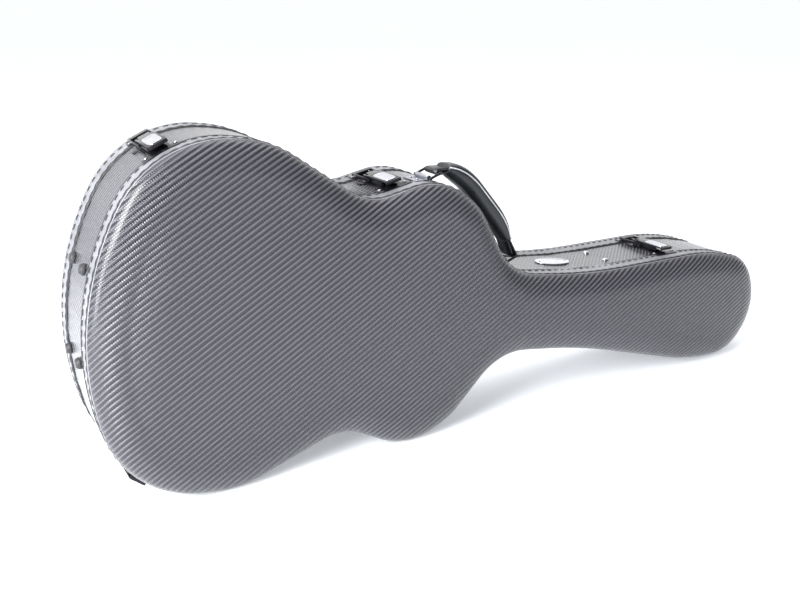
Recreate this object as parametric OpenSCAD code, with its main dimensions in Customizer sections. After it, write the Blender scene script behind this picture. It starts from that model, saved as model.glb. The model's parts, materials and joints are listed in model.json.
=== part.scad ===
// Hard-shell guitar case, standing on its long hinge side.
// Case frame: x runs from the lower end to the head, y across the case, z out through the back.
// The lid and the base part at z = 0. stand() turns the case frame up onto the floor.

/* [Outline] */
// Full width across the lower bout
lower_bout_w = 428; // [410:1:440]
// Width between the corners that make the waist
waist_w = 294; // [286:1:300]
// Width between the corners that make the upper bout
upper_bout_w = 370; // [362:1:376]
// Width between the corners where the neck begins
neck_w = 110; // [104:1:116]
// Width between the corners of the head
head_w = 180; // [172:1:186]
// Largest angle between two points on a rounded stretch
arc_step = 6; // [4:1:9]

/* [Depth] */
// Depth of the base's side band
band_depth = 102; // [98:1:108]
// Thickness of the piping layer at each seam
piping_t = 3; // [2:0.5:4]
// Depth of the lid's straight rim
rim_depth = 25; // [20:1:28]
// How far in from the edge the moulded panels roll over
roll_w = 42; // [36:1:48]
// Height of the back's rolled edge
roll_h = 21; // [17:1:24]
// Height of the lid's rolled edge
lid_roll_h = 14; // [11:1:17]
// Extra height of the back's crown
back_crown = 5; // [3:1:8]
// Extra height of the lid's crown
lid_crown = 4; // [3:1:6]
// Thickness of a moulded panel
panel_t = 3; // [2.5:0.5:4]

/* [Walls and lining] */
// How far the band's face lies inside the stitched bindings
band_face = 0.8; // [0.6:0.1:1]
// Inset of the band's inner face
band_inner = 6; // [5.5:0.5:6]
// Width of a stitched binding
binding_w = 22; // [19:1:24]
// Thickness of the side padding
padding_t = 10; // [8:1:12]
// Thickness of the padding on the base's floor
floor_pad_t = 8; // [6:1:10]

/* [Latches] */
// Width of a latch's base plate at its feet
plate_w = 48; // [46:1:50]
// Width of the latch lever
lever_w = 22; // [21:0.5:23]
// Distance of the lever's pivot from the seam
pivot_z = 26; // [24:1:28]
// Height of the lever's pivot above the case's outline
pivot_h = 6.5; // [6.5:0.1:6.7]
// Distance from the lever's pivot back to the bail's pivot
throw = 12; // [10:1:13]

/* [Handle] */
// Width of the wire rings, along the band's depth
ring_w = 38; // [36:1:40]
// Radius of the rings' wire
wire_r = 1.75; // [1.5:0.05:1.9]
// Middle of the handle, measured from the seam
handle_z = 70; // [66:1:72]
// Width of the padded grip
grip_w = 38; // [34:1:40]
// Thickness of the padded grip
grip_t = 20; // [17:1:21]

/* [Hinges] */
// Length of each hinge
hinge_len = 52; // [46:1:54]
// Radius of the hinge knuckles
knuckle_r = 1.8; // [1.7:0.05:1.9]
// Radius of the hinge pins
hinge_pin_r = 0.8; // [0.7:0.05:0.85]

/* [Hidden] */

// Half of the outline as rounded corners: distance from the lower end, half width, corner radius
HALF_CORNERS = [
    [-28, 0, 350],
    [56, lower_bout_w / 2, 134],
    [190, lower_bout_w / 2, 140],
    [324, waist_w / 2, 67],
    [426, upper_bout_w / 2, 95],
    [490, 148, 105],
    [560, neck_w / 2, 93],
    [710, 56, 900],
    [943, head_w / 2, 400],
    [1036, 81, 70],
    [1089, 0, 90]];
LOWER_BOUT = 2;
UPPER_BOUT = 4;
LAST = len(HALF_CORNERS) - 1;
CORNERS = concat(HALF_CORNERS,
    [for (i = [LAST - 1:-1:1]) [HALF_CORNERS[i][0], -HALF_CORNERS[i][1], HALF_CORNERS[i][2]]]);

function unit(a) = a / norm(a);
function flat(a) = [a[0], a[1]];
function turned(a, angle) = [a[0] * cos(angle) - a[1] * sin(angle), a[0] * sin(angle) + a[1] * cos(angle)];

// Centre of the circle that rounds corner b between its neighbours a and c
function corner_centre(a, b, c) =
    let (to_a = unit(flat(a) - flat(b)), to_c = unit(flat(c) - flat(b)), half = acos(to_a * to_c) / 2)
    flat(b) + unit(to_a + to_c) * b[2] / sin(half);

// Points round one corner, each as [point, outward normal]
function corner_arc(a, b, c) =
    let (
        to_a = unit(flat(a) - flat(b)),
        to_c = unit(flat(c) - flat(b)),
        half = acos(to_a * to_c) / 2,
        centre = corner_centre(a, b, c),
        start = unit(flat(b) + to_a * b[2] / tan(half) - centre),
        outward = sign(cross(to_a, to_c)),
        turn = -outward * (180 - 2 * half),
        steps = ceil(abs(turn) / arc_step))
    [for (k = [0:steps]) let (ray = turned(start, turn * k / steps)) [centre + b[2] * ray, outward * ray]];

COUNT = len(CORNERS);
OUTLINE = [for (i = [0:COUNT - 1])
    each corner_arc(CORNERS[(i + COUNT - 1) % COUNT], CORNERS[i], CORNERS[(i + 1) % COUNT])];
function inset(d) = [for (q = OUTLINE) q[0] - d * q[1]];

// The case leans head-down until both bouts touch the floor
function low(i) = let (a = HALF_CORNERS[i - 1], b = HALF_CORNERS[i], c = HALF_CORNERS[i + 1])
    corner_centre([a[0], -a[1]], [b[0], -b[1], b[2]], [c[0], -c[1]]);
LOW_1 = low(LOWER_BOUT);
LOW_2 = low(UPPER_BOUT);
SPAN = LOW_2 - LOW_1;
R_1 = HALF_CORNERS[LOWER_BOUT][2];
R_2 = HALF_CORNERS[UPPER_BOUT][2];
TILT = atan2(SPAN[1], SPAN[0]) + asin((R_1 - R_2) / norm(SPAN));
UP = [-sin(TILT), cos(TILT)];
FLOOR = LOW_1 * UP - R_1;
// Middle of the case's box, which becomes the origin
MIDDLE_X = 524.87;
MIDDLE_Y = -42.35;

module stand() {
    translate([-MIDDLE_X, -MIDDLE_Y, -FLOOR]) rotate([90, 0, 0]) rotate([0, 0, -TILT]) children();
}

BACK_Z = band_depth + piping_t;
SEAM_GAP = 0.3;
RIM_TOP = -SEAM_GAP - piping_t;
LID_Z = RIM_TOP - rim_depth;
PLATE_TOP = -1;
STRIP_Z = band_depth - binding_w;
FIT = 0.05;
JOIN = 0.05;
CARBON = [0.30, 0.30, 0.34];
BLACK = [0.06, 0.06, 0.07];
STEEL = [0.72, 0.73, 0.76];
PLUSH = [0.10, 0.10, 0.13];
LEATHER = [0.12, 0.12, 0.13];

// ---- shapes that repeat ----

module slab(d, z0, z1) {
    translate([0, 0, z0]) linear_extrude(z1 - z0) polygon(inset(d));
}

module wall(d_out, d_in, z0, z1) {
    difference() {
        slab(d_out, z0, z1);
        slab(d_in, z0 - 1, z1 + 1);
    }
}

// Closed surface through a list of rings with the same number of points, capped at both ends
module loft(rings) {
    n = len(rings[0]);
    last = len(rings) - 1;
    points = [for (ring = rings) each ring];
    sides = [for (j = [0:last - 1], i = [0:n - 1])
        let (a = j * n + i, b = j * n + (i + 1) % n) each [[a, b, b + n], [a, b + n, a + n]]];
    caps = [[for (i = [n - 1:-1:0]) i], [for (i = [0:n - 1]) last * n + i]];
    polyhedron(points, concat(sides, caps), convexity = 8);
}

// Stretch of the case's middle line that the crown runs down to, and the flat's half width at its two ends
SPINE = [90, 1000];
SPINE_HALF = [152, 43];
FLAT_HALF = lower_bout_w / 2 - roll_w;
// Ring on a moulded panel: a turns round the rolled edge, then f runs in towards the spine
function roll_ring(d, w, h, a) = [for (q = OUTLINE) let (p = q[0] - (d + w * (1 - cos(a))) * q[1])
    [p[0], p[1], h * sin(a)]];
function flat_half(p) = p[0] < SPINE[0] ? SPINE_HALF[0] : (p[0] > SPINE[1] ? SPINE_HALF[1] : abs(p[1]));
function crown_ring(d, w, h, crown, f) = [for (q = OUTLINE)
    let (p = q[0] - (d + w) * q[1], s = min(max(p[0], SPINE[0]), SPINE[1]))
    [p[0] + f * (s - p[0]), p[1] * (1 - f),
        h + crown * flat_half(p) / FLAT_HALF * (1 - (1 - f) * (1 - f))]];
function panel_rings(d, w, h, crown, turns) = concat(
    [for (f = [0.85, 0.5, 0.2]) crown_ring(d, w, h, crown, f)],
    [for (k = [turns:-1:0]) roll_ring(d, w, h, 90 * k / turns)]);
function reversed(list) = [for (i = [len(list) - 1:-1:0]) list[i]];

// Moulded panel from inset d inward, t thick, rising from its rim at height 0
module panel(d, t, w, h, crown) {
    outer = panel_rings(d, w, h, crown, 5);
    inner = panel_rings(d + t, w - t, h - t, crown, 3);
    loft(concat(outer, reversed(inner)));
}

// A place is a point on the outline and the direction of the outward normal there.
// side is -1 in a hollow corner.
function arc_place(i, angle, side = 1) = let (b = CORNERS[i])
    [corner_centre(CORNERS[(i + COUNT - 1) % COUNT], b, CORNERS[(i + 1) % COUNT])
        + side * b[2] * [cos(angle), sin(angle)], angle];
function edge_place(i, x) = let (a = CORNERS[i - 1], b = CORNERS[i], slope = (b[1] - a[1]) / (b[0] - a[0]))
    [[x, a[1] + slope * (x - a[0])], atan(slope) + 90];

// Put children at a place: x along the outline, y outward, z as the case's
module on_outline(place) {
    translate([place[0][0], place[0][1], 0]) rotate([0, 0, place[1] - 90]) children();
}

LATCHES = [arc_place(1, 123), edge_place(4, 371), edge_place(8, 878), arc_place(COUNT - 1, -123)];
module at_latch(i) {
    on_outline(LATCHES[i]) children();
}

module box(x, y, z) {
    translate([x[0], y[0], z[0]]) cube([x[1] - x[0], y[1] - y[0], z[1] - z[0]]);
}

// Round bar along x
module bar_x(r, x0, x1) {
    translate([x0, 0, 0]) rotate([0, 90, 0]) cylinder(r = r, h = x1 - x0, $fn = 32);
}

// Domed head standing h off the surface at its rim: radius and extra height, as shares of r
DOME = [[0.8, 0.25], [0.45, 0.4], [0, 0.45]];
module rivet(r, h) {
    rotate([-90, 0, 0]) rotate_extrude($fn = 32)
        polygon(concat([[0, 0], [r, 0], [r, h]], [for (d = DOME) [d[0] * r, h + d[1] * r]]));
}

// Plate that follows the band and steps over the stitched binding
module skin_plate(z0, z1) {
    wall(PLATE_TOP, band_face - JOIN, z0, STRIP_Z - JOIN);
    wall(PLATE_TOP, -JOIN, STRIP_Z - 2 * JOIN, z1);
}

// ---- moulded case ----

module back_shell() {
    color(CARBON) stand() translate([0, 0, BACK_Z]) panel(0, panel_t, roll_w, roll_h, back_crown);
}

HINGE_BED = 3.3;
POCKET_HALF = 30;
LOW_TANGENTS = [LOW_1 - R_1 * UP, LOW_2 - R_2 * UP];
// Place children at the floor under a bout: x level along the floor, y up
module at_hinge(i) {
    translate([LOW_TANGENTS[i][0], LOW_TANGENTS[i][1], 0]) rotate([0, 0, TILT]) children();
}

LEAF_BASE = 14;
LEAF_LID = 11;
HINGE_Y = knuckle_r + 0.3;
// Half depth of the hollow round the knuckles, deeper than the leaves' bed
HOLLOW_HALF = knuckle_r + 0.4;
module hinge_pockets() {
    for (i = [0, 1]) at_hinge(i) {
        box([-POCKET_HALF, POCKET_HALF], [-5, HINGE_BED], [-LEAF_LID - 1, LEAF_BASE + 1]);
        box([-POCKET_HALF, POCKET_HALF], [-5, HINGE_Y + knuckle_r + 0.3], [-HOLLOW_HALF, HOLLOW_HALF]);
    }
}

module side_band() {
    color(CARBON) stand() difference() {
        wall(band_face, band_inner, 0, band_depth);
        hinge_pockets();
    }
}

module rear_binding() {
    color([0.62, 0.63, 0.68]) stand() wall(0, band_face, band_depth - binding_w, band_depth);
}

module rear_piping() {
    color(BLACK) stand() wall(0, panel_t, band_depth, BACK_Z);
}

TONGUE_OUT = band_inner + 0.3;
TONGUE_T = 2;
TONGUE_RISE = 5;
module seam_tongue() {
    color(BLACK) stand() wall(TONGUE_OUT, TONGUE_OUT + TONGUE_T, -TONGUE_RISE, 20);
}

// ---- lining of the base ----

PAD_OUT = TONGUE_OUT + TONGUE_T + 0.2;
PAD_IN = PAD_OUT + padding_t;
FLOOR_Z = band_depth - floor_pad_t;
CRADLE_X = [572, 602];
// Where the body's floor pad ends and the neck's begins
PAD_SPLIT = CRADLE_X[0] - 2;
module padding_on_floor(x) {
    color(PLUSH) stand() intersection() {
        slab(PAD_IN + 0.2, FLOOR_Z, band_depth);
        box(x, [-lower_bout_w / 2, lower_bout_w / 2], [FLOOR_Z - 1, band_depth + 1]);
    }
}

module floor_pad() {
    padding_on_floor([-10, PAD_SPLIT - 0.2]);
}

module neck_floor_pad() {
    padding_on_floor([PAD_SPLIT, 1100]);
}

PAD_START = 4;
module side_padding() {
    color(PLUSH) stand() wall(PAD_OUT, PAD_IN, PAD_START, band_depth);
}

CRADLE_TOP = 36;
CRADLE_HALF = 34;
NECK_R = 27;
module neck_cradle() {
    color(PLUSH) stand() difference() {
        box(CRADLE_X, [-CRADLE_HALF, CRADLE_HALF], [CRADLE_TOP, FLOOR_Z]);
        translate([CRADLE_X[0] - 1, 0, CRADLE_TOP - 4]) bar_x(NECK_R, 0, CRADLE_X[1] - CRADLE_X[0] + 2);
    }
}

BOX_X = [612, 792];
BOX_HALF = 33;
BOX_TOP = 46;
BOX_WALL = 4;
module accessory_box() {
    color(PLUSH) stand() difference() {
        box(BOX_X, [-BOX_HALF, BOX_HALF], [BOX_TOP, FLOOR_Z]);
        box([BOX_X[0] + BOX_WALL, BOX_X[1] - BOX_WALL], [-BOX_HALF + BOX_WALL, BOX_HALF - BOX_WALL],
            [BOX_TOP - 1, FLOOR_Z - BOX_WALL]);
    }
}

FLAP_T = 5;
FLAP_GAP = 0.5;
FLAP_Z = BOX_TOP - FLAP_GAP - FLAP_T;
FLAP_HALF = 31;
module accessory_lid() {
    color(PLUSH) stand()
        box([BOX_X[0] + 1, BOX_X[1] - 1], [-FLAP_HALF, FLAP_HALF], [FLAP_Z, FLAP_Z + FLAP_T]);
}

TAB_X = [694, 710];
module accessory_tab() {
    color(LEATHER) stand() box(TAB_X, [-FLAP_HALF + 1, -FLAP_HALF + 15], [FLAP_Z - 1.6, FLAP_Z - JOIN]);
}

// ---- latches ----

FOOT_Z = [67, 88];
HEEL_Z = [14, 33];
WAIST_W = 30;
HEEL_W = 41;
CHEEK_X = 8.2;
CHEEK_T = 1.4;
CHEEK_H = 8.6;
// How far the cheeks reach from the pivot, towards the seam and away from it
CHEEK_LONG = [7, 3.5];
SIDE_T = 1.3;
BAIL_T = 1.4;
LEVER_TOP = 10.5;
LEVER_Z = [23, 84];
LEVER_SKIN = 1.6;
// Half width of the lever's narrow root, which turns between the cheeks, and where the full width starts
ROOT_HALF = CHEEK_X - CHEEK_T / 2 - 0.5;
ROOT_Z = pivot_z + 6.5;
PIN_R = 1.6;
BAIL_PIN_R = 1.4;
BAIL_PIN_LEN = 2.6;
BAIL_PIVOT_H = 5.2;
BAIL_PIVOT_Z = pivot_z + throw;
ARM_X = lever_w / 2 + 0.6;

// Strip across the plate with rounded ends, width w between z[0] and z[1]
module plate_strip(w, z, r) {
    for (x = [r - w / 2, w / 2 - r], y = [z[0] + r, z[1] - r])
        translate([x, y]) circle(r = r, $fn = 32);
    translate([-w / 2, z[0] + r]) square([w, z[1] - z[0] - 2 * r]);
    translate([r - w / 2, z[0]]) square([w - 2 * r, z[1] - z[0]]);
}

// Flat shape of a base plate seen from outside, x along the seam and y away from it
HEEL_R = 7;
FOOT_R = 8;
module plate_outline() {
    translate([-WAIST_W / 2, HEEL_Z[0]]) square([WAIST_W, FOOT_Z[1] - HEEL_Z[0]]);
    plate_strip(HEEL_W, HEEL_Z, HEEL_R);
    plate_strip(plate_w, FOOT_Z, FOOT_R);
}

module plate_stock() {
    rotate([90, 0, 0]) mirror([0, 0, 1]) translate([0, 0, -14]) linear_extrude(24) plate_outline();
}

module latch_plate(i) {
    color(BLACK) stand() {
        intersection() {
            skin_plate(HEEL_Z[0] - 2, FOOT_Z[1] + 2);
            at_latch(i) plate_stock();
        }
        at_latch(i) for (side = [-1, 1]) difference() {
            box([side * CHEEK_X - CHEEK_T / 2, side * CHEEK_X + CHEEK_T / 2], [0, CHEEK_H],
                [pivot_z - CHEEK_LONG[0], pivot_z + CHEEK_LONG[1]]);
            translate([0, pivot_h, pivot_z]) bar_x(PIN_R, -CHEEK_X - 2, CHEEK_X + 2);
        }
    }
}

PIN_HALF = lever_w / 2;
module latch_pins() {
    color(STEEL) stand() for (i = [0:3])
        at_latch(i) translate([0, pivot_h, pivot_z]) bar_x(PIN_R, -PIN_HALF, PIN_HALF);
}

RIVET_X = 18.6;
// How far the outline falls away beside each latch, at a rivet
RIVET_DROP = [1.3, 0, 0, 1.3];
module latch_rivets() {
    color(STEEL) stand() for (i = [0:3]) at_latch(i) for (side = [-1, 1])
        translate([side * RIVET_X, 1.1 - RIVET_DROP[i], 77]) rivet(2.6, 0.4);
}

module lever(i) {
    color(STEEL) stand() at_latch(i) difference() {
        union() {
            box([-ROOT_HALF, ROOT_HALF], [LEVER_TOP - LEVER_SKIN, LEVER_TOP], [LEVER_Z[0], ROOT_Z + 1]);
            box([-lever_w / 2, lever_w / 2], [LEVER_TOP - LEVER_SKIN, LEVER_TOP], [ROOT_Z, LEVER_Z[1]]);
            for (side = [-1, 1]) translate([side * (lever_w - SIDE_T) / 2, 0, 0])
                box([-SIDE_T / 2, SIDE_T / 2], [3.2, LEVER_TOP - 1], [LEVER_Z[0] + 0.6, LEVER_Z[1] - 12]);
            box([-lever_w / 2, lever_w / 2], [6.6, LEVER_TOP - 1], [LEVER_Z[1] - LEVER_SKIN, LEVER_Z[1]]);
        }
        translate([0, pivot_h, pivot_z]) bar_x(PIN_R + FIT, -lever_w, lever_w);
        translate([0, BAIL_PIVOT_H, BAIL_PIVOT_Z]) bar_x(BAIL_PIN_R + FIT, -lever_w, lever_w);
    }
}

CLAW_Z = [-8, 1.5];
CLAW_H = [5.6, 7];
module bail(i) {
    color(STEEL) stand() at_latch(i) {
        for (side = [-1, 1]) {
            translate([side * (ARM_X + BAIL_T / 2), 0, 0])
                box([-BAIL_T / 2, BAIL_T / 2], [3.2, 7], [CLAW_Z[0], BAIL_PIVOT_Z + 3]);
            translate([side * (ARM_X - BAIL_PIN_LEN / 2 + 0.2), BAIL_PIVOT_H, BAIL_PIVOT_Z])
                bar_x(BAIL_PIN_R, -BAIL_PIN_LEN / 2, BAIL_PIN_LEN / 2);
        }
        box([-ARM_X - 0.2, ARM_X + 0.2], CLAW_H, CLAW_Z);
    }
}

KEEPER_Z = [-7.4, -3.6];
KEEPER_HALF = 10;
module keepers() {
    color(BLACK) stand() for (i = [0:3]) {
        intersection() {
            wall(-1.2, -JOIN, -15, RIM_TOP - 0.2);
            at_latch(i) box([-16, 16], [-12, 12], [-16, 0]);
        }
        at_latch(i) box([-KEEPER_HALF, KEEPER_HALF], [0.9, 4.4], KEEPER_Z);
    }
}

module keeper_rivets() {
    color(STEEL) stand() for (i = [0:3]) at_latch(i) for (side = [-1, 1])
        translate([side * 13.2, 0.6, -8.5]) rivet(1.8, 0.8);
}

// ---- carrying handle ----

RING_REACH = [14.5, 8];
RING_1 = [419, 179];
RING_2 = [564, 70];
SLEEVE_R = 3.4;
MOUNTS = [RING_1, RING_2];
SLEEVE_HALF = 15;

module at_ring(i) {
    translate([MOUNTS[i][0], MOUNTS[i][1], handle_z]) children();
}

MOUNT_SPAN = [[-20, 14], [-14, 20]];
module ring_mount(i) {
    color([0.66, 0.67, 0.71]) stand() difference() {
        union() {
            intersection() {
                skin_plate(handle_z - SLEEVE_HALF, handle_z + SLEEVE_HALF);
                at_ring(i) box(MOUNT_SPAN[i], [-26, 26], [-SLEEVE_HALF, SLEEVE_HALF]);
            }
            at_ring(i) translate([0, 0, -SLEEVE_HALF]) cylinder(r = SLEEVE_R, h = 2 * SLEEVE_HALF, $fn = 40);
        }
        at_ring(i) translate([0, 0, -30]) cylinder(r = wire_r + FIT, h = 60, $fn = 40);
    }
}

module mount_rivets() {
    color(STEEL) stand() {
        for (z = [-8, 8]) {
            on_outline(arc_place(4, 97)) translate([0, 1.1, handle_z + z]) rivet(2.4, 0.4);
            on_outline(arc_place(6, 71, -1)) translate([0, 1.1, handle_z + z]) rivet(2.4, 0.4);
        }
    }
}

// Closed rectangle of round wire between the mount's sleeve and the grip's loop
module ring(i) {
    half = ring_w / 2;
    color(BLACK) stand() at_ring(i) {
        for (end = [[0, 0], RING_REACH]) translate([end[0], end[1], -half - wire_r])
            cylinder(r = wire_r, h = ring_w + 2 * wire_r, $fn = 48);
        for (z = [-half, half]) translate([0, 0, z]) rotate([0, 0, atan2(RING_REACH[1], RING_REACH[0])])
            rotate([0, 90, 0]) cylinder(r = wire_r, h = norm(RING_REACH), $fn = 48);
    }
}

// Middle line of the padded grip from one ring's bar to the other's, over the case's shoulder
GRIP_FROM = RING_1 + RING_REACH;
GRIP_TO = RING_2 + RING_REACH;
GRIP_LINE = [[448, 191], [461, 188], [475, 182], [490, 173], [506, 159], [522, 145], [538, 131], [552, 116],
    [564, 99]];
// Share of the full width and thickness along the grip
GRIP_FULL = [0.42, 0.78, 0.96, 1, 1, 1, 0.96, 0.8, 0.5];
LOOP_R = 4.2;

function grip_ring(i) = let (
        n = len(GRIP_LINE),
        a = GRIP_LINE[max(i - 1, 0)],
        b = GRIP_LINE[min(i + 1, n - 1)],
        along = unit(b - a),
        out = [-along[1], along[0]],
        half_w = grip_w / 2 * (0.7 + 0.3 * GRIP_FULL[i]),
        half_t = grip_t / 2 * GRIP_FULL[i])
    [for (k = [0:15]) let (
            c = cos(k * 22.5),
            s = sin(k * 22.5),
            across = half_w * sign(c) * pow(abs(c), 0.6),
            up = half_t * sign(s) * pow(abs(s), 0.8),
            p = GRIP_LINE[i] + up * out)
        [p[0], p[1], handle_z + across]];

module grip_strap(from, to) {
    along = unit(to - from);
    side = [-along[1], along[0]];
    translate([0, 0, handle_z - SLEEVE_HALF]) linear_extrude(2 * SLEEVE_HALF)
        polygon([from + 2 * side, to + 2 * side, to - 2 * side, from - 2 * side]);
}

module handle_grip() {
    color(LEATHER) stand() {
        difference() {
            union() {
                for (p = [GRIP_FROM, GRIP_TO]) translate([p[0], p[1], handle_z - SLEEVE_HALF])
                    cylinder(r = LOOP_R, h = 2 * SLEEVE_HALF, $fn = 32);
                grip_strap(GRIP_FROM, GRIP_LINE[0] + [3, -1]);
                grip_strap(GRIP_LINE[len(GRIP_LINE) - 1] - [2, -2], GRIP_TO);
            }
            for (p = [GRIP_FROM, GRIP_TO]) translate([p[0], p[1], handle_z - 30])
                cylinder(r = wire_r + FIT, h = 60, $fn = 32);
        }
        loft([for (i = [0:len(GRIP_LINE) - 1]) grip_ring(i)]);
    }
}

// ---- plates, studs and feet ----

NAMEPLATE_Z = 42;
NAMEPLATE_HALF = [30, 17.5];
NAMEPLATE_T = 2;
NAMEPLATE_RIVET_X = 24;
module on_nameplate(y) {
    on_outline(arc_place(7, 92.8, -1)) translate([0, y, NAMEPLATE_Z]) children();
}

module nameplate() {
    color([0.86, 0.87, 0.9]) stand() on_nameplate(0) rotate([-90, 0, 0])
        scale([NAMEPLATE_HALF[0], NAMEPLATE_HALF[1], 1]) cylinder(r = 1, h = NAMEPLATE_T, $fn = 96);
}

module nameplate_rivets() {
    color(STEEL) stand() on_nameplate(NAMEPLATE_T + FIT) for (side = [-1, 1])
        translate([side * NAMEPLATE_RIVET_X, 0, 0]) rivet(1.6, 0.4);
}

// Two dome-headed screws on the neck
module strap_studs() {
    color(STEEL) stand() for (z = [18, 62]) on_outline(edge_place(8, 773)) translate([0, 0.1 - band_face, z])
        rivet(4.6, 1.2);
}

FOOT_ANGLES = [171, -171];
FOOT_H = 5.5;
module foot() {
    rotate([-90, 0, 0]) rotate_extrude($fn = 40)
        polygon([[0, 0], [7, 0], [7, 1.5], [5.6, FOOT_H - 1], [4.6, FOOT_H], [0, FOOT_H]]);
}

module base_feet() {
    color(BLACK) stand() for (angle = FOOT_ANGLES, z = [9, 61])
        on_outline(arc_place(0, angle)) translate([0, 0.1 - band_face, z]) foot();
}

// ---- hinges ----

LEAF_T = 1.2;
KNUCKLES = 5;
KNUCKLE_LEN = hinge_len / KNUCKLES;
KNUCKLE_GAP = 0.3;

// Knuckles number first, first + 2, ... with their leaf, which lies on the pocket's bed
module hinge_leaf(first, z0, z1) {
    difference() {
        union() {
            box([-hinge_len / 2, hinge_len / 2], [HINGE_BED - LEAF_T - JOIN, HINGE_BED - JOIN], [z0, z1]);
            for (k = [first:2:KNUCKLES - 1]) translate([-hinge_len / 2 + k * KNUCKLE_LEN, HINGE_Y, 0]) {
                bar_x(knuckle_r, KNUCKLE_GAP / 2, KNUCKLE_LEN - KNUCKLE_GAP / 2);
                box([KNUCKLE_GAP / 2, KNUCKLE_LEN - KNUCKLE_GAP / 2],
                    [HINGE_BED - LEAF_T - JOIN - HINGE_Y, HINGE_BED - JOIN - HINGE_Y],
                    z0 < 0 ? [z1 - 0.1, 0] : [0, z0 + 0.1]);
            }
        }
        translate([0, HINGE_Y, 0]) bar_x(hinge_pin_r + FIT, -hinge_len, hinge_len);
    }
}

module hinge_leaves_base() {
    color(STEEL) stand() for (i = [0, 1]) at_hinge(i) hinge_leaf(0, HOLLOW_HALF, LEAF_BASE);
}

module hinge_leaves_lid() {
    color(STEEL) stand() for (i = [0, 1]) at_hinge(i) hinge_leaf(1, -LEAF_LID, -HOLLOW_HALF);
}

module hinge_pins() {
    color(BLACK) stand() for (i = [0, 1]) at_hinge(i)
        translate([0, HINGE_Y, 0]) bar_x(hinge_pin_r, -hinge_len / 2, hinge_len / 2);
}

module hinge_screws(z) {
    for (i = [0, 1]) at_hinge(i) for (x = [-19, 0, 19])
        translate([x, HINGE_BED - LEAF_T - JOIN, z]) rotate([90, 0, 0]) cylinder(r = 2, h = 0.7, $fn = 32);
}

module hinge_screws_base() {
    color(STEEL) stand() hinge_screws(9);
}

module hinge_screws_lid() {
    color(STEEL) stand() hinge_screws(-7.4);
}

// ---- lid ----

module lid_shell() {
    color(CARBON) stand() mirror([0, 0, 1]) translate([0, 0, -LID_Z])
        panel(0, panel_t, roll_w, lid_roll_h, lid_crown);
}

RIM_INNER = 5.6;
module lid_rim() {
    color(CARBON) stand() difference() {
        wall(1, RIM_INNER, LID_Z, RIM_TOP);
        hinge_pockets();
    }
}

module lid_binding() {
    color([0.62, 0.63, 0.68]) stand() difference() {
        wall(0, 1, LID_Z, RIM_TOP);
        hinge_pockets();
    }
}

module seam_piping() {
    color(BLACK) stand() difference() {
        wall(0, RIM_INNER, RIM_TOP, -SEAM_GAP);
        hinge_pockets();
    }
}

LINER_OUT = TONGUE_OUT + TONGUE_T + 0.8;
LINER_T = 7;
LINER_START = TONGUE_RISE + 1.5;
LINER_GAP = 4;
LINER_H = -LID_Z - LINER_START + lid_roll_h - panel_t - LINER_GAP;
module lid_liner() {
    color(PLUSH) stand() mirror([0, 0, 1]) translate([0, 0, LINER_START])
        panel(LINER_OUT, LINER_T, roll_w - 8, LINER_H, lid_crown);
}

back_shell();
side_band();
rear_binding();
rear_piping();
seam_tongue();
floor_pad();
neck_floor_pad();
side_padding();
neck_cradle();
accessory_box();
accessory_lid();
accessory_tab();
latch_plate(0);  // latch_plate_1
latch_plate(1);  // latch_plate_2
latch_plate(2);  // latch_plate_3
latch_plate(3);  // latch_plate_4
latch_pins();
latch_rivets();
lever(0);  // lever_1
lever(1);  // lever_2
lever(2);  // lever_3
lever(3);  // lever_4
bail(0);  // bail_1
bail(1);  // bail_2
bail(2);  // bail_3
bail(3);  // bail_4
keepers();
keeper_rivets();
ring_mount(0);  // ring_mount_1
ring_mount(1);  // ring_mount_2
mount_rivets();
ring(0);  // ring_1
ring(1);  // ring_2
handle_grip();
nameplate();
nameplate_rivets();
strap_studs();
base_feet();
hinge_leaves_base();
hinge_leaves_lid();
hinge_pins();
hinge_screws_base();
hinge_screws_lid();
lid_shell();
lid_rim();
lid_binding();
seam_piping();
lid_liner();
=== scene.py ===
import json
import math

import bmesh
import bpy
import numpy as np
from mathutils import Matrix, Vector

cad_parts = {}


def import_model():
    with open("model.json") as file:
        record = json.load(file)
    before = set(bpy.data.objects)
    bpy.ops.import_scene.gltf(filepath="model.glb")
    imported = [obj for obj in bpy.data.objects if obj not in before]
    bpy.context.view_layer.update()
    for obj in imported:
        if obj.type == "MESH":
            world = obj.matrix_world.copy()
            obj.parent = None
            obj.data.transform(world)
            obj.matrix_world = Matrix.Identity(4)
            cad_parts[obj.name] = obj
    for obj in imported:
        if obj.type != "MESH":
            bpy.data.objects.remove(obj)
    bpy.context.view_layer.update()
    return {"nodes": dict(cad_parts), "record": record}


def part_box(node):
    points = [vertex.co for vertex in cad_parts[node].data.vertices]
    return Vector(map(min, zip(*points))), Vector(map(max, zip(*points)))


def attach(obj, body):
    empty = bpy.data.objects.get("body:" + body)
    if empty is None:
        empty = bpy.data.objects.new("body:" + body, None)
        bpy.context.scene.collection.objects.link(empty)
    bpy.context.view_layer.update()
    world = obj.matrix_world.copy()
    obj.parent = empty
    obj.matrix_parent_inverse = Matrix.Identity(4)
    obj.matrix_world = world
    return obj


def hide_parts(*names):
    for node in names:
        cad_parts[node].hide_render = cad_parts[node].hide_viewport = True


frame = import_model()
NODES = frame["nodes"]
BODY = {n: b for b, ns in frame["record"]["behaviour"]["bodies"].items() for n in ns}
SLOT = {p["node"]: p["material_slot"] for p in frame["record"]["subparts"]}
MM = 0.001

# ---- the case's own frame: u along it, v across it, z out through the back, in mm ----

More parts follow.
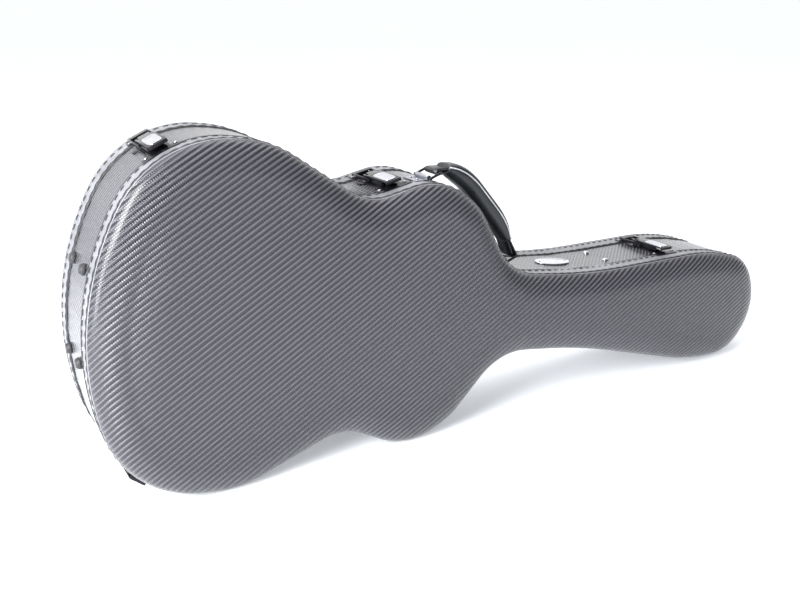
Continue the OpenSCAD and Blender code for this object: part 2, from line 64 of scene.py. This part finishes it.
# half of the outline as rounded corners: place along the case, half width, corner radius
HALF_CORNERS = [(-28, 0, 350), (56, 214, 134), (190, 214, 140), (324, 147, 67), (426, 185, 95),
                (490, 148, 105), (560, 55, 93), (710, 56, 900), (943, 90, 400), (1036, 81, 70), (1089, 0, 90)]
LOWER_BOUT, UPPER_BOUT = 2, 4
CORNERS = HALF_CORNERS + [(u, -v, r) for u, v, r in HALF_CORNERS[-2:0:-1]]
COUNT = len(CORNERS)
ARC_STEP = 2.0


def unit(a):
    return a / np.linalg.norm(a)


def corner(i):
    """Centre, half angle and sense of the fillet at corner i."""
    a, b, c = (np.array(CORNERS[(i + k) % COUNT][:2], float) for k in (-1, 0, 1))
    r = CORNERS[i % COUNT][2]
    to_a, to_c = unit(a - b), unit(c - b)
    half = math.acos(np.dot(to_a, to_c)) / 2
    outward = 1 if to_a[0] * to_c[1] - to_a[1] * to_c[0] > 0 else -1
    return b + unit(to_a + to_c) * r / math.sin(half), half, outward, b + to_a * r / math.tan(half)


def outline(count):
    """Evenly spaced points round the outline with their outward normals."""
    pts = []
    for i in range(COUNT):
        centre, half, outward, start = corner(i)
        turn = -outward * (math.pi - 2 * half)
        steps = math.ceil(abs(math.degrees(turn)) / ARC_STEP)
        ray = start - centre
        for k in range(steps + 1):
            c, s = math.cos(turn * k / steps), math.sin(turn * k / steps)
            pts.append(centre + np.array([ray[0] * c - ray[1] * s, ray[0] * s + ray[1] * c]))
    pts = np.array(pts + [pts[0]])
    run = np.concatenate([[0], np.cumsum(np.hypot(*np.diff(pts, axis=0).T))])
    at = np.linspace(0, run[-1], count, endpoint=False)
    ring = np.stack([np.interp(at, run, pts[:, k]) for k in (0, 1)], 1)
    along = np.roll(ring, -1, 0) - np.roll(ring, 1, 0)
    along /= np.linalg.norm(along, axis=1)[:, None]
    normal = np.stack([-along[:, 1], along[:, 0]], 1)
    if np.dot(normal[0], ring[0] - np.array([400.0, 0.0])) < 0:
        normal = -normal
    return ring, normal, run[-1]


low = [np.array([corner(i)[0][0], -corner(i)[0][1]]) for i in (LOWER_BOUT, UPPER_BOUT)]
span = low[1] - low[0]
bout_radius = [CORNERS[i][2] for i in (LOWER_BOUT, UPPER_BOUT)]
TILT = math.atan2(span[1], span[0]) + math.asin((bout_radius[0] - bout_radius[1]) / np.linalg.norm(span))
FLOOR = -low[0][0] * math.sin(TILT) + low[0][1] * math.cos(TILT) - bout_radius[0]
seam = [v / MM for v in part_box("seam_piping")[1]]
SEAM_GAP = 0.3
ring_raw, _, _ = outline(2400)
MIDDLE_X = float((ring_raw @ [math.cos(TILT), math.sin(TILT)]).max()) - seam[0]
# the seam piping's top face lies just inside the parting plane
MIDDLE_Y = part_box("seam_piping")[0][1] / MM - SEAM_GAP


def world(u, v, z):
    return Vector(((u * math.cos(TILT) + v * math.sin(TILT) - MIDDLE_X) * MM, (MIDDLE_Y - z) * MM,
                   (-u * math.sin(TILT) + v * math.cos(TILT) - FLOOR) * MM))


# ---- materials ----

class Graph:
    def __init__(self, name):
        self.mat = bpy.data.materials.new(name)
        self.mat.use_nodes = True
        self.tree = self.mat.node_tree
        self.shader = self.tree.nodes["Principled BSDF"]
        place = self.tree.nodes.new("ShaderNodeTexCoord")
        self.place = place.outputs["Object"]
        split = self.tree.nodes.new("ShaderNodeSeparateXYZ")
        self.tree.links.new(self.place, split.inputs[0])
        self.x, self.y, self.z = split.outputs

    def put(self, socket, value):
        if isinstance(value, bpy.types.NodeSocket):
            self.tree.links.new(value, socket)
        else:
            socket.default_value = value

    def math(self, op, a, b=0.0):
        node = self.tree.nodes.new("ShaderNodeMath")
        node.operation = op
        self.put(node.inputs[0], a)
        self.put(node.inputs[1], b)
        return node.outputs[0]

    def mix(self, factor, a, b):
        node = self.tree.nodes.new("ShaderNodeMix")
        node.data_type = "RGBA"
        self.put(node.inputs[0], factor)
        self.put(node.inputs[6], (*a, 1) if isinstance(a, tuple) else a)
        self.put(node.inputs[7], (*b, 1) if isinstance(b, tuple) else b)
        return node.outputs[2]

    def noise(self, scale, detail=3.0):
        node = self.tree.nodes.new("ShaderNodeTexNoise")
        self.put(node.inputs["Vector"], self.place)
        node.inputs["Scale"].default_value = scale
        node.inputs["Detail"].default_value = detail
        return node.outputs[0]

    def cells(self, scale):
        node = self.tree.nodes.new("ShaderNodeTexVoronoi")
        self.put(node.inputs["Vector"], self.place)
        node.inputs["Scale"].default_value = scale
        return node.outputs["Distance"]

    def ranged(self, value, low_out, high_out, low_in=0.0, high_in=1.0):
        node = self.tree.nodes.new("ShaderNodeMapRange")
        self.put(node.inputs[0], value)
        for k, v in enumerate((low_in, high_in, low_out, high_out), 1):
            node.inputs[k].default_value = v
        return node.outputs[0]

    def finish(self, colour, rough, height, distance, strength=1.0, metallic=0.0, **extra):
        bump = self.tree.nodes.new("ShaderNodeBump")
        bump.inputs["Strength"].default_value = strength
        bump.inputs["Distance"].default_value = distance
        self.put(bump.inputs["Height"], height)
        self.tree.links.new(bump.outputs[0], self.shader.inputs["Normal"])
        self.put(self.shader.inputs["Base Color"], colour)
        self.put(self.shader.inputs["Roughness"], rough)
        self.shader.inputs["Metallic"].default_value = metallic
        for key, value in extra.items():
            self.shader.inputs[key.replace("_", " ")].default_value = value
        return self.mat


def carbon(name, dark, light, pitch, rough, depth, lean=30, side=0.55, thread_share=0.08):
    """Diagonal ribs of pressed carbon-look twill, crossed by fine threads."""
    g = Graph(name)
    c, s = math.cos(math.radians(lean)), math.sin(math.radians(lean))
    across = g.math("ADD", g.math("MULTIPLY", g.x, -s), g.math("MULTIPLY", g.z, c))
    across = g.math("ADD", across, g.math("MULTIPLY", g.y, side))
    along = g.math("ADD", g.math("MULTIPLY", g.x, c), g.math("MULTIPLY", g.z, s))
    wave = g.math("SINE", g.math("MULTIPLY", across, 2 * math.pi / pitch))
    rib = g.math("POWER", g.math("ADD", g.math("MULTIPLY", wave, 0.5), 0.5), 1.7)
    thread = g.math("SINE", g.math("MULTIPLY", along, 2 * math.pi / (pitch * 0.42)))
    weave = g.math("ADD", g.math("MULTIPLY", rib, 0.84), g.math("MULTIPLY", thread, thread_share))
    drift = g.noise(6.0)
    colour = g.mix(weave, dark, light)
    colour = g.mix(g.ranged(drift, 0.0, 0.2), colour, tuple(0.6 * v for v in light))
    return g.finish(colour, g.ranged(drift, rough - 0.04, rough + 0.05), weave, depth, 0.9,
                    Coat_Weight=0.4, Coat_Roughness=0.2, Specular_IOR_Level=0.42)


def leather(name, dark, light, rough=0.45, depth=0.0003, scale=900.0):
    g = Graph(name)
    grain = g.cells(scale)
    height = g.math("ADD", grain, g.math("MULTIPLY", g.noise(scale * 0.6), 0.6))
    colour = g.mix(g.ranged(g.noise(35.0), 0.0, 1.0, 0.3, 0.7), dark, light)
    return g.finish(colour, g.ranged(grain, rough - 0.08, rough + 0.1), height, depth, 0.5)


def metal(name, dark, light, rough, scale=160.0, metallic=1.0):
    g = Graph(name)
    cloud = g.noise(scale, 5.0)
    colour = g.mix(g.ranged(cloud, 0.0, 1.0, 0.35, 0.65), dark, light)
    return g.finish(colour, g.ranged(cloud, rough - 0.04, rough + 0.1), cloud, 0.00005, 0.3, metallic)


def plush(name, dark, light):
    g = Graph(name)
    pile = g.noise(1400.0, 4.0)
    nap = g.noise(22.0)
    colour = g.mix(g.ranged(nap, 0.0, 1.0, 0.35, 0.65), dark, light)
    return g.finish(colour, g.ranged(pile, 0.85, 1.0), pile, 0.0012, 0.8,
                    Sheen_Weight=0.5, Sheen_Roughness=0.5)


LOOK = {
    "shell": carbon("carbon_shell", (0.006, 0.006, 0.009), (0.115, 0.114, 0.138), 0.0063, 0.24, 0.0014),
    "band": carbon("carbon_band", (0.014, 0.014, 0.018), (0.15, 0.152, 0.175), 0.0048, 0.26, 0.0008,
                   42, 0.7, 0.02),
    "binding": leather("leatherette_strip", (0.15, 0.153, 0.17), (0.22, 0.223, 0.245), 0.32, 0.0004, 700.0),
    "piping": leather("black_piping", (0.008, 0.008, 0.010), (0.02, 0.02, 0.024), 0.42, 0.0003, 800.0),
    "tongue": leather("tongue_plastic", (0.02, 0.02, 0.025), (0.035, 0.035, 0.04), 0.55, 0.0001, 500.0),
    "foam": plush("plush_lining", (0.012, 0.013, 0.03), (0.03, 0.032, 0.06)),
    "plush": plush("plush_fittings", (0.014, 0.015, 0.034), (0.036, 0.038, 0.07)),
    "black_metal": metal("black_metal", (0.010, 0.010, 0.013), (0.022, 0.022, 0.027), 0.14, 60.0, 0.55),
    "chrome": metal("bright_metal", (0.55, 0.56, 0.61), (0.66, 0.67, 0.72), 0.12, 40.0),
    "steel": metal("satin_metal", (0.34, 0.35, 0.39), (0.44, 0.45, 0.5), 0.24, 40.0),
    "leather": leather("grip_leather", (0.006, 0.007, 0.009), (0.016, 0.019, 0.022), 0.34, 0.0004, 650.0),
    "rubber": leather("hard_rubber", (0.012, 0.012, 0.014), (0.03, 0.03, 0.034), 0.5, 0.0002, 900.0),
    "plate": metal("plate_metal", (0.62, 0.63, 0.68), (0.8, 0.81, 0.86), 0.22, 90.0),
}
EDGE = leather("edge_line", (0.42, 0.425, 0.46), (0.56, 0.565, 0.6), 0.25, 0.0001, 900.0)
# pale grey for the shine along each shell's rolled edge: a painted highlight, laid on as thin tubes
SHELL_EDGE_PAINTED_HIGHLIGHT = leather("shell_edge_painted_highlight", (0.17, 0.173, 0.19), (0.25, 0.253, 0.275), 0.22, 0.0001, 900.0)
THREAD = leather("stitch_thread", (0.004, 0.004, 0.006), (0.012, 0.012, 0.015), 0.5, 0.0003, 1500.0)

for name, node in NODES.items():
    for held in node.material_slots:
        held.material = LOOK[SLOT[name]]

# ---- making pieces ----


def piece(name, verts, faces, material, body, smooth=True):
    mesh = bpy.data.meshes.new(name)
    mesh.from_pydata([tuple(v) for v in verts], [], faces)
    mesh.materials.append(material)
    mesh.polygons.foreach_set("use_smooth", [smooth] * len(mesh.polygons))
    obj = bpy.data.objects.new(name, mesh)
    bpy.context.scene.collection.objects.link(obj)
    bm = bmesh.new()
    bm.from_mesh(mesh)
    bmesh.ops.remove_doubles(bm, verts=bm.verts, dist=0.00002)
    bmesh.ops.recalc_face_normals(bm, faces=bm.faces)
    bm.to_mesh(mesh)
    bm.free()
    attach(obj, body)
    return obj


def grid(rings, closed=True, caps=False):
    """Faces between successive rings of equal length."""
    n = len(rings[0])
    faces = []
    for j in range(len(rings) - 1):
        for i in range(n if closed else n - 1):
            a, b = j * n + i, j * n + (i + 1) % n
            faces.append((a, b, b + n, a + n))
    if caps:
        faces.append(tuple(range(n - 1, -1, -1)))
        faces.append(tuple(range((len(rings) - 1) * n, len(rings) * n)))
    return [p for ring in rings for p in ring], faces


SPINE = (90.0, 1000.0)
SPINE_HALF = (152.0, 43.0)
FLAT_HALF = 172.0
SHELL_T = 2.5
ROLL_W = 42


def panel_ring(ring, normal, d, wide, high, crown, turn, f):
    p = ring - (d + wide * (1 - math.cos(turn))) * normal
    h = high * math.sin(turn)
    s = np.clip(p[:, 0], *SPINE)
    half = np.where(p[:, 0] > SPINE[1], SPINE_HALF[1], abs(p[:, 1]))
    half = np.where(p[:, 0] < SPINE[0], SPINE_HALF[0], half)
    rise = h + crown * half / FLAT_HALF * (1 - (1 - f) ** 2)
    return np.stack([p[:, 0] + f * (s - p[:, 0]), p[:, 1] * (1 - f), rise], 1)


def shell(name, node, base, sign, high, crown):
    """Moulded panel, finer than its CAD solid, on the same surface."""
    ring, normal, _ = outline(560)
    turns = [(math.pi / 2 * k / 12, 0.0) for k in range(13)]
    turns += [(math.pi / 2, f) for f in (0.04, 0.1, 0.18, 0.28, 0.4, 0.52, 0.64, 0.76, 0.88, 1.0)]
    rings = [panel_ring(ring, normal, 0, ROLL_W, high, crown, a, f) for a, f in turns]
    under = [panel_ring(ring, normal, SHELL_T, ROLL_W - SHELL_T, high - SHELL_T, crown, a, f)
             for a, f in turns]
    both = rings[::-1] + under
    rings3 = [[world(q[0], q[1], base + sign * q[2]) for q in r] for r in both]
    verts, faces = grid(rings3)
    obj = piece(name, verts, faces, LOOK["shell"], BODY[node])
    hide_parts(node)
    return obj


def tube(name, path, radius, material, body, sides=10, closed=True, twist=None):
    """Round bar swept along a path of points; twist gives rope strands."""
    pts = [Vector(p) for p in path]
    n = len(pts)
    rings = []
    for i, p in enumerate(pts):
        along = (pts[(i + 1) % n] - pts[i - 1]) if closed else (pts[min(i + 1, n - 1)] - pts[max(i - 1, 0)])
        along.normalize()
        side = along.cross(Vector((0, 1, 0)))
        side = side.normalized() if side.length > 0.2 else Vector((1, 0, 0))
        up = side.cross(along)
        ring = []
        for k in range(sides):
            angle = 2 * math.pi * k / sides
            r = radius * (1 + (0.16 * math.sin(2 * angle + twist * i) if twist else 0))
            ring.append(p + r * (math.cos(angle) * side + math.sin(angle) * up))
        rings.append(ring)
    if closed:
        rings.append(rings[0])
    verts, faces = grid(rings, caps=not closed)
    return piece(name, verts, faces, material, body)


def along_outline(count, inset, z):
    ring, normal, _ = outline(count)
    return [world(*(p - inset * n), z) for p, n in zip(ring, normal)]


def stitches(name, z, inset, body, pitch=12.0, long=7.8, wide=2.3):
    """Row of sewn threads lying on a binding, each end diving into the leather."""
    total = outline(100)[2]
    count = round(total / pitch)
    ring, normal, _ = outline(count * 12)
    verts, faces = [], []
    # along the thread, its width and its height off the binding, as shares
    shape = [(-0.5, 0.15, -0.5), (-0.42, 0.7, 0.25), (-0.2, 1.0, 0.6),
             (0.2, 1.0, 0.6), (0.42, 0.7, 0.25), (0.5, 0.15, -0.5)]
    for k in range(count):
        i = k * 12
        p, n = ring[i], normal[i]
        t = np.array([n[1], -n[0]])
        first = len(verts)
        for along, w, h in shape:
            for q in range(6):
                a = 2 * math.pi * q / 6
                out = h * 0.9 + 0.45 * w * math.sin(a) - inset
                at = p + t * along * long + n * out
                verts.append(world(at[0], at[1], z + 0.5 * wide * w * math.cos(a)))
        for j in range(len(shape) - 1):
            for q in range(6):
                a, b = first + j * 6 + q, first + j * 6 + (q + 1) % 6
                faces.append((a, b, b + 6, a + 6))
    return piece(name, verts, faces, THREAD, body)


def refined(node, width, segments=2, material=None):
    """Copy of a CAD piece with its hard edges eased, standing for the CAD one."""
    bm = bmesh.new()
    bm.from_mesh(NODES[node].data)
    bmesh.ops.remove_doubles(bm, verts=bm.verts, dist=0.00002)
    bmesh.ops.dissolve_limit(bm, angle_limit=math.radians(1.5), verts=bm.verts, edges=bm.edges)
    mesh = bpy.data.meshes.new("fine_" + node)
    bm.to_mesh(mesh)
    bm.free()
    obj = bpy.data.objects.new("fine_" + node, mesh)
    bpy.context.scene.collection.objects.link(obj)
    bevel = obj.modifiers.new("ease", "BEVEL")
    bevel.width = width * MM
    bevel.segments = segments
    bevel.limit_method = "ANGLE"
    bevel.angle_limit = math.radians(35)
    done = bpy.data.meshes.new_from_object(obj.evaluated_get(bpy.context.evaluated_depsgraph_get()))
    obj.modifiers.clear()
    obj.data = done
    done.materials.clear()
    done.materials.append(material or LOOK[SLOT[node]])
    done.polygons.foreach_set("use_smooth", [True] * len(done.polygons))
    done.set_sharp_from_angle(angle=math.radians(40))
    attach(obj, BODY[node])
    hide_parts(node)
    return obj


# ---- shells, edges, piping and stitching ----

BACK_Z = 105.0
LID_RIM = -28.3
BACK_ROLL_H, BACK_CROWN = 21, 5
LID_ROLL_H, LID_CROWN = 14, 4
STITCH_BACK_Z, STITCH_LID_Z = 85.5, -21.5
shell("fine_back_shell", "back_shell", BACK_Z, 1, BACK_ROLL_H, BACK_CROWN)
shell("fine_lid_shell", "lid_shell", LID_RIM, -1, LID_ROLL_H, LID_CROWN)
tube("rope_back", along_outline(1300, 2.2, 103.4), 3.3 * MM, LOOK["piping"], "base", twist=0.95)
tube("rope_seam", along_outline(1300, 2.0, -1.9), 2.9 * MM, LOOK["piping"], "lid", twist=0.95)
# thin pale tubes round both shells' edges: a painted highlight of the rolled edge, not a part of the case
tube("painted_highlight_back_edge", along_outline(700, 0.5, 107.4), 0.9 * MM, SHELL_EDGE_PAINTED_HIGHLIGHT, "base", sides=8)
tube("painted_highlight_lid_edge", along_outline(700, 0.5, -29.6), 0.9 * MM, SHELL_EDGE_PAINTED_HIGHLIGHT, "lid", sides=8)
tube("edge_line_strip", along_outline(700, 0.5, 80.0), 1.0 * MM, LOOK["piping"], "base", sides=8)
tube("edge_line_seam", along_outline(700, 0.7, 1.4), 0.9 * MM, LOOK["piping"], "base", sides=8)
stitches("stitches_back", STITCH_BACK_Z, 0.0, "base")
stitches("stitches_lid", STITCH_LID_Z, 0.0, "lid")

# ---- hardware ----

for i in range(1, 5):
    refined(f"latch_plate_{i}", 0.4)
    refined(f"lever_{i}", 0.6, 3)
    refined(f"bail_{i}", 0.4)
refined("keepers", 0.4)
refined("ring_mount_1", 0.4)
refined("ring_mount_2", 0.4)
refined("nameplate", 0.5)
refined("base_feet", 0.3)

LATCH_PLACES = [("arc", 1, 123), ("edge", 4, 371), ("edge", 8, 878), ("arc", COUNT - 1, -123)]
LEVER_TOP = 10.5


def latch_frame(kind, i, at):
    """Point on the outline at a latch, with the directions along and out of the case."""
    if kind == "arc":
        out = np.array([math.cos(math.radians(at)), math.sin(math.radians(at))])
        return corner(i)[0] + CORNERS[i][2] * out, np.array([out[1], -out[0]]), out
    a, b = np.array(CORNERS[i - 1][:2], float), np.array(CORNERS[i][:2], float)
    along = unit(b - a)
    return a + along * (at - a[0]) / along[0], along, np.array([-along[1], along[0]])


def lever_pad(number, place):
    """Bright dished thumb pad on a lever: a rounded rim round a sunken oval."""
    p, along, out = latch_frame(*place)
    rings = []
    for half_w, half_l, rise in ((8.6, 19.0, -0.4), (8.6, 19.0, 0.5), (8.0, 18.4, 0.9), (6.6, 17.0, 0.9),
                                 (5.4, 15.4, 0.35), (2.0, 9.0, 0.15)):
        ring = []
        for k in range(40):
            c, s = math.cos(math.pi * k / 20), math.sin(math.pi * k / 20)
            x, z = half_w * math.copysign(abs(c) ** 0.6, c), half_l * math.copysign(abs(s) ** 0.35, s)
            q = p + x * along + (LEVER_TOP + rise) * out
            ring.append(world(q[0], q[1], 61 + z))
        rings.append(ring)
    verts, faces = grid(rings, caps=True)
    piece(f"lever_pad_{number}", verts, faces, LOOK["chrome"], f"lever_{number}")


for number, place in enumerate(LATCH_PLACES, 1):
    lever_pad(number, place)

# ---- lining ----

# how far each padded piece's edges are eased, in mm
SOFTNESS = {"floor_pad": 2.5, "neck_floor_pad": 2.5, "side_padding": 3.0, "lid_liner": 0.6,
            "neck_cradle": 3.0, "accessory_lid": 1.5}
for node, soft in SOFTNESS.items():
    refined(node, soft, 3)
refined("accessory_box", 1.2)
refined("accessory_tab", 0.4)

# ---- padded grip ----

GRIP_LINE = [(448, 191), (461, 188), (475, 182), (490, 173), (506, 159),
             (522, 145), (538, 131), (552, 116), (564, 99)]
RING_1, RING_2, REACH = (419, 179), (564, 70), (14.5, 8)
GRIP_FULL = [0.5, 0.88, 1, 1, 1, 1, 1, 0.9, 0.55]
HANDLE_Z = 70.0
GRIP_HALF_W, GRIP_HALF_T, GRIP_LIFT = 19.0, 12.5, 0.6
line = np.array(GRIP_LINE, float)
knots = np.linspace(0, 1, len(line))
fine = np.linspace(0, 1, 57)
mid = np.stack([np.interp(fine, knots, line[:, k]) for k in (0, 1)], 1)
for _ in range(12):
    mid[1:-1] = 0.25 * mid[:-2] + 0.5 * mid[1:-1] + 0.25 * mid[2:]
full = np.interp(fine, knots, GRIP_FULL)
for _ in range(6):
    full[1:-1] = 0.25 * full[:-2] + 0.5 * full[1:-1] + 0.25 * full[2:]


def grip_at(i, across, up):
    """A point of the grip's section: across along the bars, up away from the case, in mm."""
    along = unit(mid[min(i + 1, len(mid) - 1)] - mid[max(i - 1, 0)])
    out = np.array([-along[1], along[0]])
    p = mid[i] + (up + GRIP_LIFT) * out
    return world(p[0], p[1], HANDLE_Z + across)


SIDES = 28
TOP_EDGE = 0.42
rings = []
for i in range(len(mid)):
    w = GRIP_HALF_W * (0.62 + 0.38 * full[i])
    t = GRIP_HALF_T * full[i]
    ring = []
    for k in range(SIDES):
        a = 2 * math.pi * k / SIDES
        c, s = math.cos(a), math.sin(a)
        x = w * math.copysign(abs(c) ** 0.55, c) * (1.0 if s > 0 else 1.0 - 0.16 * abs(s))
        y = t * math.copysign(abs(s) ** 0.85, s)
        ring.append(grip_at(i, x, y))
    rings.append(ring)
verts, faces = grid(rings, caps=True)
grip = piece("padded_grip", verts, faces, LOOK["leather"], "handle")
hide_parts("handle_grip")
for side in (-1, 1):
    path = [grip_at(i, side * GRIP_HALF_W * (0.62 + 0.38 * full[i]) * 0.97, GRIP_HALF_T * full[i] * TOP_EDGE)
            for i in range(len(mid))]
    name = "grip_piping_near" if side > 0 else "grip_piping_far"
    tube(name, path, 0.95 * MM, EDGE, "handle", 8, False)

for tag, base, end in (("a", RING_1, mid[1]), ("b", RING_2, mid[-2])):
    bar = np.array(base, float) + REACH
    away = unit(np.array(end) - bar)
    side = np.array([-away[1], away[0]])
    loop = []
    for k in range(15):
        a = math.pi / 2 + math.pi * k / 14
        loop.append(bar + 4.2 * (math.cos(a) * away + math.sin(a) * side))
    strap = [end + 2.4 * side] + loop + [end - 2.4 * side]
    outer = [[world(p[0], p[1], HANDLE_Z + z) for p in strap] for z in (-14.5, 14.5)]
    inner_pts = [end + 0.8 * side] + [bar + 2.1 * unit(p - bar) for p in loop] + [end - 0.8 * side]
    inner = [[world(p[0], p[1], HANDLE_Z + z) for p in inner_pts] for z in (14.5, -14.5)]
    verts, faces = grid(outer + inner + [outer[0]], closed=False)
    piece("grip_strap_" + tag, verts, faces, LOOK["leather"], "handle")

# ---- floor, light and camera ----

bpy.ops.mesh.primitive_plane_add(size=90, location=(0, 20, -0.0009))
ground = bpy.context.object
ground.name = "ground"
paper = Graph("pale_ground")
paper.shader.inputs["Emission Color"].default_value = (0.93, 0.96, 1.0, 1)
paper.shader.inputs["Emission Strength"].default_value = 0.34
paper_tone = paper.mix(paper.noise(0.6), (0.86, 0.88, 0.91), (0.9, 0.915, 0.94))
ground.data.materials.append(paper.finish(paper_tone, 0.7, paper.noise(40.0), 0.0002, 0.1))


def area(name, place, aim, size, power, colour=(1, 1, 1)):
    light = bpy.data.lights.new(name, "AREA")
    light.shape = "RECTANGLE"
    light.size, light.size_y = size
    light.energy = power
    light.color = colour
    obj = bpy.data.objects.new(name, light)
    obj.location = place
    obj.rotation_euler = (Vector(aim) - Vector(place)).to_track_quat("-Z", "Y").to_euler()
    bpy.context.scene.collection.objects.link(obj)


area("top_softbox", (-0.2, 0.6, 2.4), (0, 0, 0.2), (2.6, 1.8), 34)
area("left_softbox", (-2.2, -0.75, 0.9), (-0.4, -0.1, 0.25), (0.5, 2.4), 85)
area("key", (-2.0, -1.1, 1.3), (-0.35, 0, 0.27), (0.35, 1.3), 62)
area("front_fill", (0.9, -2.6, 1.5), (0.1, 0, 0.2), (1.8, 1.4), 4, (0.94, 0.97, 1.0))
sky = bpy.data.worlds.new("studio")
sky.use_nodes = True
backdrop = sky.node_tree.nodes["Background"]
toward = sky.node_tree.nodes.new("ShaderNodeTexCoord")
parts = sky.node_tree.nodes.new("ShaderNodeSeparateXYZ")
fade = sky.node_tree.nodes.new("ShaderNodeMapRange")
sky.node_tree.links.new(toward.outputs["Generated"], parts.inputs[0])
sky.node_tree.links.new(parts.outputs[1], fade.inputs[0])
# a dark room on the near side, white paper beyond the case
for k, v in enumerate((-0.15, 0.35, 0.2, 1.3), 1):
    fade.inputs[k].default_value = v
sky.node_tree.links.new(fade.outputs[0], backdrop.inputs[1])
backdrop.inputs[0].default_value = (0.99, 0.995, 1.0, 1)
bpy.context.scene.world = sky
bpy.context.scene.view_settings.view_transform = "Standard"

CAMERA_AT = (-0.694, -1.022, 0.591)
CAMERA_YAW, CAMERA_PITCH = 30.08, 19.34
lens = bpy.data.cameras.new("camera")
lens.sensor_width = 36
lens.lens = 41.13
camera = bpy.data.objects.new("camera", lens)
camera.location = CAMERA_AT
camera.rotation_euler = (math.radians(90 - CAMERA_PITCH), 0, math.radians(-CAMERA_YAW))
bpy.context.scene.collection.objects.link(camera)
bpy.context.scene.camera = camera
